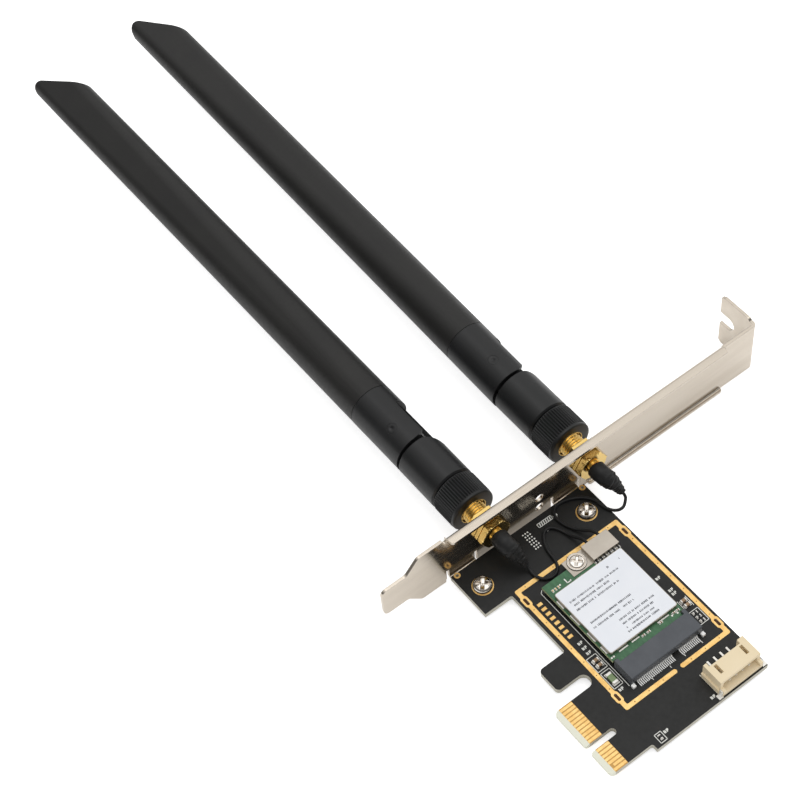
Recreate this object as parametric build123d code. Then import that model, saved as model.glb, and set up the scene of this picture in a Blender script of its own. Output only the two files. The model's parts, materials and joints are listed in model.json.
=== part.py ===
from build123d import *
import os
from math import asin, cos, degrees, pi, radians, sin, tan

# Wireless card for a short edge-connector slot, lying flat with its component side up.
# X runs along the bracket from its tongue to its bent tab, Y points out through the
# bracket along the antennas, Z points up. The origin is on the connector edge of the
# board, at the middle of its key slot and half-way through its thickness. Millimetres.

# Board
board_t = 1.57
board_top_x = 46.7
board_low_x = 12.4
board_back_y = -9.9
board_front_y = 56.4
wing_x = 4.2
wing_y = 42.9
hook_x = 4.3
hook_y = (15.9, 22.95)
hook_round = 1.1
tab_y = (-8.15, 12.15)
slot_round = 1.8
key_w = 1.9
key_depth = 8.2
bevel = (1.3, 0.45)
copper = 0.04
contact_pitch = 1.0
contact_w = 0.7
contact_x = (1.3, 5.0)
contact_first = 1.5
contact_groups = (11, 7)
short_contact = (-6.5, 0.75)
tab_round = 1.1
key_round = 0.6

# Gold line round the module
trace_x = (13.4, 46.0)
trace_y = (1.95, 43.25)
trace_w = 1.2
trace_gap_x = (28.75, 31.35)
eyelet_len = 3.6
eyelet_w = 1.9
eyelet_slot = (2.2, 0.8)
eyelet_inset = 4.0

# Bracket, one folded sheet
sheet_t = 0.85
plate_y = 57.6
plate_mid_z = 6.8
plate_w = 18.42
tongue_w = 10.19
tongue_x = -15.0
taper_x = (-7.6, -3.8)
bend_x = 105.6
flange_x = (5.0, 94.0)
flange_depth = 2.9
low_flange_x = 49.0
low_flange_depth = 1.75
neck_trim = (0.6, 0.6)
tab_reach = 12.3
tab_notch_w = 4.4
tab_notch_depth = 5.2
tab_notch_z = 7.4
bend_r = 0.45
ear_w = 8.0
ear_back = 4.3
lamp_hole_r = 1.3
lamp_z = (2.0, 5.9)

# Bracket screws
screw_x = (8.7, 41.8)
screw_y = 49.5
screw_r = 1.48
screw_hole_r = 1.6
screw_head_r = 2.35
screw_head_h = 1.6
ring_r = 2.75
dot_r = 0.85
dot_hole_r = 0.4
dot_inset = (1.5, 0.65)

# Plug-in radio module, its socket and its cover
module_x = 29.55
module_w = 22.0
module_len = 30.0
module_far_y = 38.9
module_t = 0.8
module_lift = 1.45
module_notch_r = 1.75
socket_w = 21.9
socket_y = (6.05, 12.4)
socket_ear = 1.0
socket_lip = 1.0
module_tongue_w = 19.85
module_tongue_len = 4.0
module_chip_x = (28.65, 30.25, 34.1, 38.2, 39.4)
socket_h = 3.25
tail_pitch = 0.5
tail_w = 0.22
tail_counts = (22, 12)
tail_gap = 4
can_y = (14.2, 34.9)
can_w = 21.0
can_h = 1.17
can_wall = 0.2
label_t = 0.08
label_margin = 0.15
clip_t = 0.2
clip_flat_x = 26.4
clip_box_x = (32.7, 40.7)
clip_y = (36.1, 41.0)
clip_box_h = 1.45
plug_x = (34.9, 38.6)
plug_y = 37.4

# Four-way side-entry header
header_x = 39.2
header_w = 12.4
header_y = (-9.5, -2.2)
header_h = 4.7
header_wall = 0.9
header_lip = 1.2
header_recess = (1.0, 1.8, 1.1)
header_pitch = 2.0
header_pin = 0.5

# Bulkhead jacks
jack_mid_x = 33.4
jack_spacing = 31.0
jack_z = 7.8
jack_hex = 8.0
jack_hex_t = 2.4
thread_r = 3.15
jack_tip_y = 69.0
jack_bore_r = 2.3
jack_neck_r = 1.95
jack_neck_y = 52.6
boot_y = 54.3
cable_d = 0.81

# Antennas, drawn about the jack axis
nut_y = (64.1, 72.2)
nut_r = 6.42
nut_ribs = 54
rib_depth = 0.3
nut_rim = 0.75
insert_r = 4.8
running = 0.05
body_r = 6.35
barrel_gap = 0.2
pin_y = 93.4
pin_r = 1.1
hinge_gap = 0.95
collar_corner_r = 4.3
fork_half = 3.6
tongue_half = 3.4
tongue_r = 4.2
slot_r = 4.5
fold_pocket = 6.2
corner_r = 3.0
seam_y = 106.2
tip_long_y = 268.5
tip_short_y = 249.5
tip_round = 2.2
radome_wall = 1.3
lean = {"left": -0.3, "right": 0.9}
right_roll = 9.0

# Worked out from the dimensions above
top = board_t / 2
plate_out = plate_y + sheet_t
plate_low = plate_mid_z - plate_w / 2
plate_high = plate_mid_z + plate_w / 2
jack_x = {"left": jack_mid_x - jack_spacing / 2, "right": jack_mid_x + jack_spacing / 2}
module_low = top + module_lift
module_high = module_low + module_t
blade_half_at_crossing = 6.0
crossing_margin = 0.4
left_roll = degrees(asin((body_r + blade_half_at_crossing + crossing_margin) / jack_spacing))
roll = {"left": left_roll, "right": right_roll}
sides = ("left", "right")


# Plain solids by their limits
def block(x0, x1, y0, y1, z0, z1):
    middle = Pos((x0 + x1) / 2, (y0 + y1) / 2, (z0 + z1) / 2)
    return middle * Box(x1 - x0, y1 - y0, z1 - z0)


def rod_y(radius, y0, y1):
    base = (Align.CENTER, Align.CENTER, Align.MIN)
    return Pos(0, y0, 0) * Rot(-90, 0, 0) * Cylinder(radius, y1 - y0, align=base)


def rod_z(radius, z0, z1, x=0.0, y=0.0):
    base = (Align.CENTER, Align.CENTER, Align.MIN)
    return Pos(x, y, z0) * Cylinder(radius, z1 - z0, align=base)


def area(x0, x1, y0, y1):
    return Pos((x0 + x1) / 2, (y0 + y1) / 2) * Rectangle(x1 - x0, y1 - y0)


def near(sketch, x, y):
    return sketch.vertices().sort_by_distance((x, y, 0))[0]


# A drawing of X and Z, given thickness along Y
def upright(sketch, y0, y1):
    return extrude(Plane((0, y1, 0), x_dir=(1, 0, 0), z_dir=(0, -1, 0)) * sketch, y1 - y0)


# A drawing of Y and Z, given length along X
def lengthwise(sketch, x0, x1):
    return extrude(Plane((x0, 0, 0), x_dir=(0, 1, 0), z_dir=(1, 0, 0)) * sketch, x1 - x0)


def hexagon(across, y0, y1):
    return upright(RegularPolygon(across / 2, 6, major_radius=False), y0, y1)


# Cross recess of a driver, cut down from height z
def cross_recess(span, width, depth, z):
    bar = block(-span / 2, span / 2, -width / 2, width / 2, z - depth, z + 1)
    return bar + Rot(0, 0, 90) * bar


# Board with its card edge, hook, key slot and holes
def eyelet_places():
    for x in (trace_x[0] + trace_w / 2, trace_x[1] - trace_w / 2):
        for y in (trace_y[0] + eyelet_inset, trace_y[1] - eyelet_inset):
            yield x, y


def dot_places():
    yield wing_x + dot_inset[0], board_front_y - dot_inset[1]
    yield board_top_x - dot_inset[0] + 0.5, board_front_y - dot_inset[1]


def make_pcb():
    outline = area(board_low_x, board_top_x, board_back_y, board_front_y)
    outline += area(wing_x, board_low_x, wing_y, board_front_y)
    outline += area(hook_x, board_low_x, *hook_y)
    outline += area(0, board_low_x, *tab_y)
    for corner in ((hook_x, hook_y[0]), (hook_x, hook_y[1])):
        outline = fillet(near(outline, *corner), hook_round)
    for corner in ((board_low_x, hook_y[0]), (board_low_x, tab_y[1])):
        outline = fillet(near(outline, *corner), slot_round)
    for corner in ((board_low_x, tab_y[0]), (board_low_x, wing_y), (board_low_x, hook_y[1])):
        outline = fillet(near(outline, *corner), 0.6)
    for y in tab_y:
        outline = fillet(near(outline, 0, y), tab_round)
    key_end = key_depth - key_w / 2
    outline -= area(-1, key_end, -key_w / 2, key_w / 2) + Pos(key_end, 0) * Circle(key_w / 2)
    for y in (-key_w / 2, key_w / 2):
        outline = fillet(near(outline, 0, y), key_round)
    for x in screw_x:
        outline -= Pos(x, screw_y) * Circle(screw_hole_r)
    for x, y in dot_places():
        outline -= Pos(x, y) * Circle(dot_hole_r)
    for x, y in eyelet_places():
        outline -= Pos(x, y) * SlotOverall(*eyelet_slot, rotation=90)
    board = Pos(0, 0, -top) * extrude(outline, board_t)
    length, drop = bevel
    wedge = make_face(
        Polyline(
            (-1, top - drop - drop / length), (length, top), (length, top + 1), (-1, top + 1), close=True,
        )
    )
    cutter = upright(wedge, tab_y[0] - 1, tab_y[1] + 1)
    return board - cutter - mirror(cutter, Plane.XY)


def contact_places():
    for count, step in zip(contact_groups, (1, -1)):
        for i in range(count):
            yield step * (contact_first + i * contact_pitch)


def make_edge_contacts():
    upper = []
    for y in contact_places():
        start = contact_x[0] + (short_contact[1] if y == short_contact[0] else 0)
        upper.append(block(start, contact_x[1], y - contact_w / 2, y + contact_w / 2, top, top + copper))
    return Compound(upper + [mirror(pad, Plane.XY) for pad in upper])


def make_ground_trace():
    mid = Pos(sum(trace_x) / 2, sum(trace_y) / 2)
    wide, tall = trace_x[1] - trace_x[0], trace_y[1] - trace_y[0]
    line = mid * RectangleRounded(wide, tall, 0.5)
    line -= mid * RectangleRounded(wide - 2 * trace_w, tall - 2 * trace_w, 0.3)
    back_y = trace_y[0] + trace_w / 2
    line -= area(*trace_gap_x, trace_y[0] - 1, trace_y[0] + 2 * trace_w)
    for x in trace_gap_x:
        line += Pos(x, back_y) * Circle(trace_w / 2)
    for x, y in eyelet_places():
        line += Pos(x, y) * SlotOverall(eyelet_len, eyelet_w, rotation=90)
    for x, y in eyelet_places():
        line -= Pos(x, y) * SlotOverall(*eyelet_slot, rotation=90)
    return Pos(0, 0, top) * extrude(line, copper)


def make_screw_pads():
    rings = [Pos(x, screw_y) * (Circle(ring_r) - Circle(screw_hole_r)) for x in screw_x]
    rings += [Pos(x, y) * (Circle(dot_r) - Circle(dot_hole_r)) for x, y in dot_places()]
    return Compound([Pos(0, 0, top) * extrude(ring, copper) for ring in rings])


# Bracket: tongue, flanged plate, two ears under the board, neck and bent tab
def folded_section(points, outer, inner):
    face = make_face(Polyline(*points, close=True))
    for corner in outer:
        face = fillet(near(face, *corner), bend_r + sheet_t)
    for corner in inner:
        face = fillet(near(face, *corner), bend_r)
    return face


# What is taken off to round a corner seen from above, r inward of x and y
def corner_cut(x, y, inward, r, z0, z1):
    far = x + inward * r
    square = block(min(x, far), max(x, far), y, y + r, z0, z1)
    return square - rod_z(r, z0 - 1, z1 + 1, far, y + r)


def make_bracket():
    lip = plate_out - flange_depth
    under_top = plate_high - sheet_t
    over_low = plate_low + sheet_t
    ell = [
        (plate_out, plate_low),
        (plate_out, plate_high),
        (lip, plate_high),
        (lip, under_top),
        (plate_y, under_top),
        (plate_y, plate_low),
    ]
    ell_face = folded_section(ell, [ell[1]], [ell[4]])
    low_lip = plate_out - low_flange_depth
    channel = ell[:5] + [(plate_y, over_low), (low_lip, over_low), (low_lip, plate_low)]
    channel_face = folded_section(channel, [channel[0], channel[1]], [channel[4], channel[5]])
    body = lengthwise(ell_face, flange_x[0], low_flange_x)
    body += lengthwise(channel_face, low_flange_x, flange_x[1])
    for x, inward in ((flange_x[0], 1), (flange_x[1], -1)):
        body -= corner_cut(x, lip, inward, 1.2, plate_mid_z, plate_high + 1)
    for x, inward in ((low_flange_x, 1), (flange_x[1], -1)):
        body -= corner_cut(x, low_lip, inward, 0.6, plate_low - 1, plate_mid_z)

    half_tongue = tongue_w / 2
    tongue = make_face(
        Polyline(
            (flange_x[0], plate_low),
            (flange_x[0], plate_high),
            (taper_x[1], plate_high),
            (taper_x[0], plate_mid_z + half_tongue),
            (tongue_x, plate_mid_z + half_tongue),
            (tongue_x, plate_mid_z - half_tongue),
            (taper_x[0], plate_mid_z - half_tongue),
            (taper_x[1], plate_low),
            close=True,
        )
    )
    for z in (plate_mid_z - half_tongue, plate_mid_z + half_tongue):
        tongue = fillet(near(tongue, tongue_x, z), 1.6)
        tongue = fillet(near(tongue, taper_x[0], z), 1.5)
    for z in (plate_low, plate_high):
        tongue = fillet(near(tongue, taper_x[1], z), 1.5)
        tongue -= Pos(flange_x[0] - 0.8, z) * SlotOverall(2.6, 1.2, rotation=90)
    body += upright(tongue, plate_y, plate_out)

    tab_out = plate_y + tab_reach
    hook = [
        (flange_x[1], plate_y),
        (bend_x, plate_y),
        (bend_x, tab_out),
        (bend_x - sheet_t, tab_out),
        (bend_x - sheet_t, plate_out),
        (flange_x[1], plate_out),
    ]
    hook_face = make_face(Polyline(*hook, close=True))
    hook_face = fillet(near(hook_face, bend_x, plate_y), bend_r + sheet_t)
    hook_face = fillet(near(hook_face, bend_x - sheet_t, plate_out), bend_r)
    neck_low = plate_low + neck_trim[0]
    neck_high = plate_high - neck_trim[1]
    body += Pos(0, 0, neck_low) * extrude(hook_face, neck_high - neck_low)
    tab = area(plate_out + 2 * bend_r, tab_out, plate_low, plate_high)
    for y in (plate_out + 2 * bend_r, tab_out):
        for z in (plate_low, plate_high):
            tab = fillet(near(tab, y, z), 1.4)
    body += lengthwise(tab, bend_x - sheet_t, bend_x)
    notch_end = tab_out - tab_notch_depth + tab_notch_w / 2
    notch = area(notch_end, tab_out + 1, tab_notch_z - tab_notch_w / 2, tab_notch_z + tab_notch_w / 2)
    notch += Pos(notch_end, tab_notch_z) * Circle(tab_notch_w / 2)
    body -= lengthwise(notch, bend_x - 2, bend_x + 1)

    ear_high = -top
    ear_low = ear_high - sheet_t
    ear_root = top + 1.5
    for x in screw_x:
        body -= block(x - ear_w / 2 - 0.8, x + ear_w / 2 + 0.8, lip, plate_out + 1, plate_low - 1, ear_root)
        ear = [
            (plate_out, ear_low),
            (plate_out, ear_root),
            (plate_y, ear_root),
            (plate_y, ear_high),
            (screw_y - ear_back, ear_high),
            (screw_y - ear_back, ear_low),
        ]
        face = folded_section(ear, [ear[0]], [ear[3]])
        blank = Pos(x, (screw_y + plate_out) / 2) * Rectangle(ear_w, plate_out - screw_y + 0.2)
        blank += Pos(x, screw_y) * Circle(ear_w / 2)
        flap = lengthwise(face, x - ear_w / 2, x + ear_w / 2)
        flap &= Pos(0, 0, -5) * extrude(blank, 10)
        body += flap - rod_z(screw_r, ear_low - 1, ear_high + 1, x, screw_y)
    for side in sides:
        hole = Pos(jack_x[side], 0, jack_z) * rod_y(thread_r + 0.1, plate_y - 1, plate_out + 1)
        body -= hole
    for z in lamp_z:
        body -= Pos(jack_mid_x, 0, z) * rod_y(lamp_hole_r, plate_y - 1, plate_out + 1)
    return body


# Pan-head screw with a cross recess, standing at the origin with its seat at z = 0
def pan_screw(head_r, head_h, shank_r, shank_len, span, width):
    slope = ((1.0, 0.0), (1.0, 0.38), (0.9, 0.68), (0.66, 0.9), (0.4, 1.0))
    outline = [(0, 0)] + [(head_r * r, head_h * z) for r, z in slope] + [(0, head_h)]
    profile = make_face(Polyline(*outline, close=True))
    head = revolve(Plane.XZ * profile, Axis.Z)
    shank = rod_z(shank_r, -shank_len, 0)
    shank = chamfer(shank.edges().sort_by(Axis.Z)[0], shank_r * 0.3)
    return head + shank - cross_recess(span, width, head_h * 0.55, head_h)


def make_bracket_screws():
    length = copper + board_t + sheet_t + 0.6
    screw = pan_screw(screw_head_r, screw_head_h, screw_r - 0.02, length, 2.7, 0.7)
    return Compound([Pos(x, screw_y, top + copper) * Rot(0, 0, 25) * screw for x in screw_x])


# Module socket, its contact tails and the module that slides into it
def make_module_socket():
    left, right = module_x - socket_w / 2, module_x + socket_w / 2
    back, mouth = socket_y
    body = block(left, right, back, mouth, top, top + socket_h)
    slack = 0.06
    slot_back = module_far_y - module_len - 0.1
    body -= block(
        module_x - module_tongue_w / 2 - slack, module_x + module_tongue_w / 2 + slack,
        slot_back, mouth + 1, module_low - slack, module_high + slack,
    )
    body -= block(left + socket_ear, right - socket_ear, mouth - socket_lip, mouth + 1, module_low, top + 9)
    body -= block(left + 0.6, right - 0.6, back - 1, back + 0.9, top - 1, top + 0.9)
    return chamfer(body.edges().filter_by(Axis.X).group_by(Axis.Z)[-1].sort_by(Axis.Y)[0], 0.2)


def tail_places():
    span = (sum(tail_counts) + tail_gap) * tail_pitch
    x = module_x - span / 2 + tail_pitch / 2
    for count in tail_counts:
        for i in range(count):
            yield x + i * tail_pitch
        x += (count + tail_gap) * tail_pitch


def make_socket_contacts():
    y0, y1 = socket_y[0] - 1.5, socket_y[0] + 0.85
    foot = [
        block(x - tail_w / 2, x + tail_w / 2, y0, y1, top, top + 0.2)
        + block(x - tail_w / 2, x + tail_w / 2, socket_y[0] - 0.2, y1, top, top + 0.75)
        for x in tail_places()
    ]
    lugs = [
        block(x - 0.45, x + 0.45, socket_y[0] - 0.95, socket_y[0], top, top + 0.8)
        for x in (module_x - socket_w / 2 + 0.1, module_x + socket_w / 2 - 0.1)
    ]
    return Compound(foot + lugs)


def make_module_board():
    near_y = module_far_y - module_len
    plan = area(module_x - module_w / 2, module_x + module_w / 2, near_y + module_tongue_len, module_far_y)
    plan += area(module_x - module_tongue_w / 2, module_x + module_tongue_w / 2, near_y, module_far_y - 9)
    plan -= Pos(module_x, module_far_y) * Circle(module_notch_r)
    return Pos(0, 0, module_low) * extrude(plan, module_t)


def make_shield_can():
    mid = Pos(module_x, sum(can_y) / 2, module_high)
    length = can_y[1] - can_y[0]
    outer = extrude(RectangleRounded(can_w, length, 0.6), can_h)
    inner = extrude(RectangleRounded(can_w - 2 * can_wall, length - 2 * can_wall, 0.4), can_h - can_wall)
    return mid * (outer - inner)


def make_radio_chip():
    high = module_high + can_h - can_wall - 0.15
    main = block(module_x - 4.5, module_x + 4.5, 19.5, 28.5, module_high, high)
    small = block(module_x + 5.6, module_x + 8.4, 21.0, 25.0, module_high, high - 0.1)
    return Compound([main, small])


def make_module_label():
    mid = Pos(module_x, sum(can_y) / 2, module_high + can_h)
    plan = RectangleRounded(can_w - 2 * label_margin, can_y[1] - can_y[0] - 2 * label_margin, 0.5)
    return mid * extrude(plan, label_t)


def chip(x, y, length, width, height, z, turned=False):
    dx, dy = (width, length) if turned else (length, width)
    return block(x - dx / 2, x + dx / 2, y - dy / 2, y + dy / 2, z, z + height)


def make_module_passives():
    row = [chip(x, 13.5, 0.8, 0.45, 0.4, module_high) for x in module_chip_x]
    corner = [chip(module_x - 9.6 + 0.9 * i, 36.4, 0.6, 0.3, 0.3, module_high, True) for i in range(3)]
    return Compound(row + corner)


def make_module_standoff():
    post = rod_z(2.6, top, module_low, module_x, module_far_y)
    post += rod_z(module_notch_r - 0.1, module_low, module_high, module_x, module_far_y)
    return post - rod_z(0.97, top - 1, module_high + 1, module_x, module_far_y)


# Pressed cover over the coaxial plugs, with a flat lug under the module screw
def make_cover_clip():
    y0, y1 = clip_y
    x0, x1 = clip_box_x
    low, high = module_high, module_high + clip_box_h
    lug = block(clip_flat_x, x0 + clip_t, y0, y1, low, low + clip_t)
    box = block(x0, x1, y0, y1, low, high)
    box -= block(x0 + clip_t, x1 - clip_t, y0 + clip_t, y1 - clip_t, low - 1, high - clip_t)
    for x in plug_x:
        box -= block(x - 0.8, x + 0.8, y1 - 1, y1 + 1, low - 1, high - clip_t)
    cover = lug + box
    return cover - rod_z(1.15, low - 1, low + 1, module_x, module_far_y)


def make_module_screw():
    screw = pan_screw(2.55, 0.75, 0.95, 2.4, 2.6, 0.6)
    return Pos(module_x, module_far_y, module_high + clip_t) * Rot(0, 0, 20) * screw


def make_coax_receptacles():
    sockets = []
    for x in plug_x:
        base = block(x - 1.0, x + 1.0, plug_y - 1.0, plug_y + 1.0, module_high, module_high + 0.3)
        ring = rod_z(0.75, module_high + 0.3, module_high + 0.8, x, plug_y)
        sockets.append(base + ring - rod_z(0.5, module_high + 0.3, module_high + 1, x, plug_y))
    return Compound(sockets)


def make_coax_plugs():
    plugs = []
    for x in plug_x:
        low = module_high + 0.32
        cap = rod_z(1.05, low, low + 0.75, x, plug_y)
        cap -= rod_z(0.77, low - 1, low + 0.5, x, plug_y)
        neck = Pos(x, 0, cable_end_z) * rod_y(0.34, plug_y + 0.85, plug_end_y)
        plugs.append(cap + neck)
    return Compound(plugs)


# Side-entry header with four pins and two solder anchors
def make_header_housing():
    left, right = header_x - header_w / 2, header_x + header_w / 2
    mouth, back = header_y
    high = top + header_h
    body = block(left, right, mouth, back, top + 0.25, high)
    body += block(left - 0.45, right + 0.45, mouth + 1.2, back, top, top + 1.5)
    floor_z = top + 0.25 + header_wall
    body -= block(left + header_wall, right - header_wall, mouth - 1, back - 2.2, floor_z, high - header_wall)
    body -= block(left - 1, right + 1, mouth - 1, mouth + header_lip, top + 2.2, high + 1)
    for x in (header_x - 4.0, header_x + 4.0):
        body -= block(x - 0.45, x + 0.45, mouth + 3.1, back - 1.6, high - 2, high + 1)
    from_left, from_right, depth = header_recess
    body -= block(left + from_left, right - from_right, back - depth, back + 1, top - 1, high + 1)
    for x in header_pin_places():
        body -= block(x - header_pin / 2, x + header_pin / 2, back - 2.3, back + 1, top - 1, top + 0.3)
        body -= block(x - header_pin / 2, x + header_pin / 2, back - 2.3, back - 1.4, top - 1, pin_high)
    return body


def header_pin_places():
    return [header_x + header_pitch * (i - 1.5) for i in range(4)]


def make_header_pins():
    mouth, back = header_y
    pins = []
    for x in header_pin_places():
        x0, x1 = x - header_pin / 2, x + header_pin / 2
        foot = block(x0, x1, back - 1.9, back + 1.8, top, top + 0.3)
        riser = block(x0, x1, back - 1.9, back - 1.4, top, pin_high)
        prong = block(x0, x1, mouth + 1.4, back - 1.4, pin_high - header_pin, pin_high)
        pins.append(foot + riser + prong)
    return Compound(pins)


def make_header_anchors():
    mouth = header_y[0]
    anchors = []
    for side in (-1, 1):
        edge = header_x + side * header_w / 2
        outer = edge + side * 1.3
        pad = block(min(edge, outer), max(edge, outer), mouth - 0.2, mouth + 1.15, top, top + 0.25)
        wall = edge + side * 0.3
        pad += block(min(edge, wall), max(edge, wall), mouth + 0.2, mouth + 1.15, top, top + 2.0)
        anchors.append(pad)
    return Compound(anchors)


# Small parts soldered to the board
def make_chip_capacitors():
    pair = [chip(16.3, 16.4, 1.6, 0.85, 0.8, top), chip(16.3, 14.9, 1.6, 0.85, 0.8, top)]
    other = [chip(43.0, 15.3, 1.6, 0.85, 0.8, top), chip(43.0, 13.9, 1.6, 0.85, 0.8, top)]
    return Compound(pair + other)


def make_chip_resistors():
    trio = [chip(43.0, 11.2 - 1.3 * i, 1.2, 0.6, 0.45, top) for i in range(3)]
    lone = [chip(14.9, -8.0, 1.0, 0.55, 0.4, top, True)]
    return Compound(trio + lone)


def make_fuse():
    return chip(16.2, 10.4, 3.2, 1.6, 0.7, top, True)


# Bulkhead jack: hexagon inside the bracket, washer and nut outside it
def make_jack_body():
    inside = plate_y - jack_hex_t
    body = hexagon(jack_hex, inside, plate_y) & chamfered_disc(jack_hex * 0.575, inside, plate_y)
    body += rod_y(thread_r, plate_y, jack_tip_y)
    body += rod_y(jack_neck_r, jack_neck_y, inside)
    for y in (inside - 0.55, inside - 1.15):
        body -= rod_y(5, y - 0.15, y + 0.15) - rod_y(jack_neck_r - 0.25, y - 1, y + 1)
    body -= rod_y(jack_bore_r, 62.5, jack_tip_y + 1)
    return body - rod_y(1.2, jack_neck_y - 1, 63)


def chamfered_disc(radius, y0, y1):
    disc = rod_y(radius, y0, y1)
    return chamfer(disc.edges().sort_by(Axis.Y)[0], 0.4)


def make_jack_insulator():
    ring = rod_y(jack_bore_r, 62.5, 64.0) + rod_y(1.2, jack_neck_y, 62.5)
    return ring - rod_y(0.45, jack_neck_y - 1, 65)


def make_jack_contact():
    return rod_y(0.45, jack_neck_y, 67.5)


def make_jack_washer():
    return rod_y(4.4, plate_out, plate_out + 0.5) - rod_y(thread_r + 0.1, plate_out - 1, plate_out + 1)


def make_jack_nut():
    y0 = plate_out + 0.5
    return hexagon(jack_hex, y0, y0 + 2.0) - rod_y(thread_r, y0 - 1, y0 + 3)


# Heat-shrink boot from the jack's neck to the cable, lofted round its bend
boot_path = {
    "left": [
        (17.9, boot_y, 7.8), (18.0, 51.4, 7.4), (18.6, 49.6, 6.2), (19.2, 48.3, 4.8), (19.9, 46.6, 2.6),
    ],
    "right": [
        (48.9, boot_y, 7.8), (49.1, 51.6, 7.5), (49.9, 49.8, 6.4), (50.7, 48.3, 4.9), (51.3, 47.1, 3.4),
    ],
}
boot_radii = (2.4, 2.4, 1.9, 1.4, 0.95)


def boot_direction(side, i):
    points = [Vector(*p) for p in boot_path[side]]
    if i == 0:
        return Vector(0, -1, 0)
    ahead = points[min(i + 1, len(points) - 1)]
    return (ahead - points[i - 1]).normalized()


def make_boot(side):
    sections = []
    for i, point in enumerate(boot_path[side]):
        flat = Plane(point, x_dir=(1, 0, 0), z_dir=boot_direction(side, i))
        sections.append(flat * Circle(boot_radii[i]))
    sleeve = loft(sections, ruled=True)
    return sleeve - Pos(jack_x[side], 0, jack_z) * rod_y(jack_neck_r, jack_neck_y, boot_y + 1)


# Thin coaxial cable, straight runs joined by tangent arcs
plug_end_y = 40.4
cable_end_z = module_high + 0.65
pin_high = top + 2.75
cable_lead = {"left": 1.0, "right": 1.5}
cable_low = top + 0.5
cable_flat = {
    "left": [
        (19.9, 43.7), (20.9, 41.2), (23.4, 40.1), (25.7, 41.2), (26.7, 43.5), (26.9, 46.6), (28.0, 49.6),
        (29.6, 51.6), (31.7, 51.8), (33.1, 50.0), (33.8, 47.3),
    ],
    "right": [
        (49.4, 44.4), (47.6, 44.7), (46.2, 46.4), (45.7, 48.6), (45.4, 50.9), (43.7, 53.3), (41.0, 54.9),
        (38.3, 55.7), (36.0, 55.3), (34.6, 53.4), (34.7, 50.8), (35.6, 48.3),
    ],
}
cable_rise = {
    "left": [(34.4, 45.0, 2.1), (plug_x[0], 42.6, cable_end_z), (plug_x[0], plug_end_y, cable_end_z)],
    "right": [(36.9, 45.7, 1.8), (plug_x[1], 42.8, cable_end_z), (plug_x[1], plug_end_y, cable_end_z)],
}
cable_drop = {"left": [], "right": [(50.7, 45.2, 1.7)]}


def cable_route(side):
    start = Vector(*boot_path[side][-1])
    lead = start + boot_direction(side, len(boot_radii) - 1) * cable_lead[side]
    flat = [(x, y, cable_low) for x, y in cable_flat[side]]
    return [start, lead] + [Vector(*p) for p in cable_drop[side] + flat + cable_rise[side]]


def make_cable(side):
    points = cable_route(side)
    runs = [b - a for a, b in zip(points, points[1:])]
    radii = []
    for before, after in zip(runs, runs[1:]):
        turn = radians(before.get_angle(after))
        radii.append(0.45 * min(before.length, after.length) / tan(turn / 2))
    path = FilletPolyline(*points, radius=radii)
    tube = sweep(Plane(points[0], z_dir=runs[0]) * Circle(cable_d / 2), path)
    section = pi * cable_d ** 2 / 4
    ratio = tube.volume / section / path.length
    print(side, "cable length", round(path.length, 1), "volume ratio", round(ratio, 4))
    print(side, "cable radii", [round(r, 1) for r in radii])
    return tube


# Coupling nut: ribbed plastic grip pressed on a brass insert
def make_coupling_nut():
    ring = []
    for i in range(nut_ribs):
        for part, radius in ((0.0, nut_r), (0.5, nut_r - rib_depth)):
            angle = 2 * pi * (i + part) / nut_ribs
            ring.append((radius * cos(angle), radius * sin(angle)))
    y0, y1 = nut_y
    body = upright(make_face(Polyline(*ring, close=True)), y0 + nut_rim, y1 - nut_rim)
    near_rim = rod_y(nut_r - 0.1, y0, y0 + nut_rim)
    body += chamfer(near_rim.edges().filter_by(GeomType.CIRCLE).sort_by(Axis.Y)[0], 0.45)
    far_rim = rod_y(nut_r - 0.1, y1 - nut_rim, y1)
    body += chamfer(far_rim.edges().filter_by(GeomType.CIRCLE).sort_by(Axis.Y)[-1], 0.45)
    body -= rod_y(4.3, y0 - 1, y0 + 1)
    body -= rod_y(insert_r, y0 + 0.6, y1 - 0.6)
    return body - rod_y(3.0, y1 - 1, y1 + 1)


def make_nut_insert():
    y0, y1 = nut_y[0] + 0.6, nut_y[1] - 0.6
    sleeve = rod_y(insert_r, y0, y1)
    sleeve -= rod_y(thread_r + running, y0 - 1, 70.0)
    return sleeve - rod_y(2.6, 69, y1 + 1)


# Plug inside the nut: brass body, insulator and socket contact
def make_plug_body():
    body = rod_y(jack_bore_r - running, 64.3, 69.15)
    body += rod_y(thread_r - 0.1, 69.15, 69.9) + rod_y(2.5, 69.9, 79.5)
    body -= rod_y(1.75, 64, 69.9)
    return body - rod_y(1.2, 69, 80)


def make_plug_insulator():
    body = rod_y(1.75, 67.8, 69.9) + rod_y(1.2, 69.9, 79.5)
    return body - rod_y(0.75, 67, 80)


def make_plug_contact():
    return rod_y(0.75, 64.6, 79.5) - rod_y(0.45 + running, 64, 68.2)


# Barrel with the hinge tongue on its end, folding side at +X
def make_base_barrel():
    y0 = nut_y[1] + barrel_gap
    y1 = pin_y - body_r - hinge_gap
    shell = rod_y(body_r, y0, y1)
    shell = chamfer(shell.edges().sort_by(Axis.Y)[0], 0.5)
    corner_x, corner_y = body_r - corner_r, y1 - corner_r
    square = block(corner_x, body_r + 1, corner_y, y1 + 1, -8, 8)
    shell -= square - rod_z(corner_r, -9, 9, corner_x, corner_y)
    web = block(-tongue_r, tongue_r, y1 - 1, pin_y, -tongue_half, tongue_half)
    web += rod_z(tongue_r, -tongue_half, tongue_half, 0, pin_y)
    shell += web
    shell -= rod_z(pin_r + running, -8, 8, 0, pin_y)
    return shell - rod_y(2.5, y0 - 1, 79.5)


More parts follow.
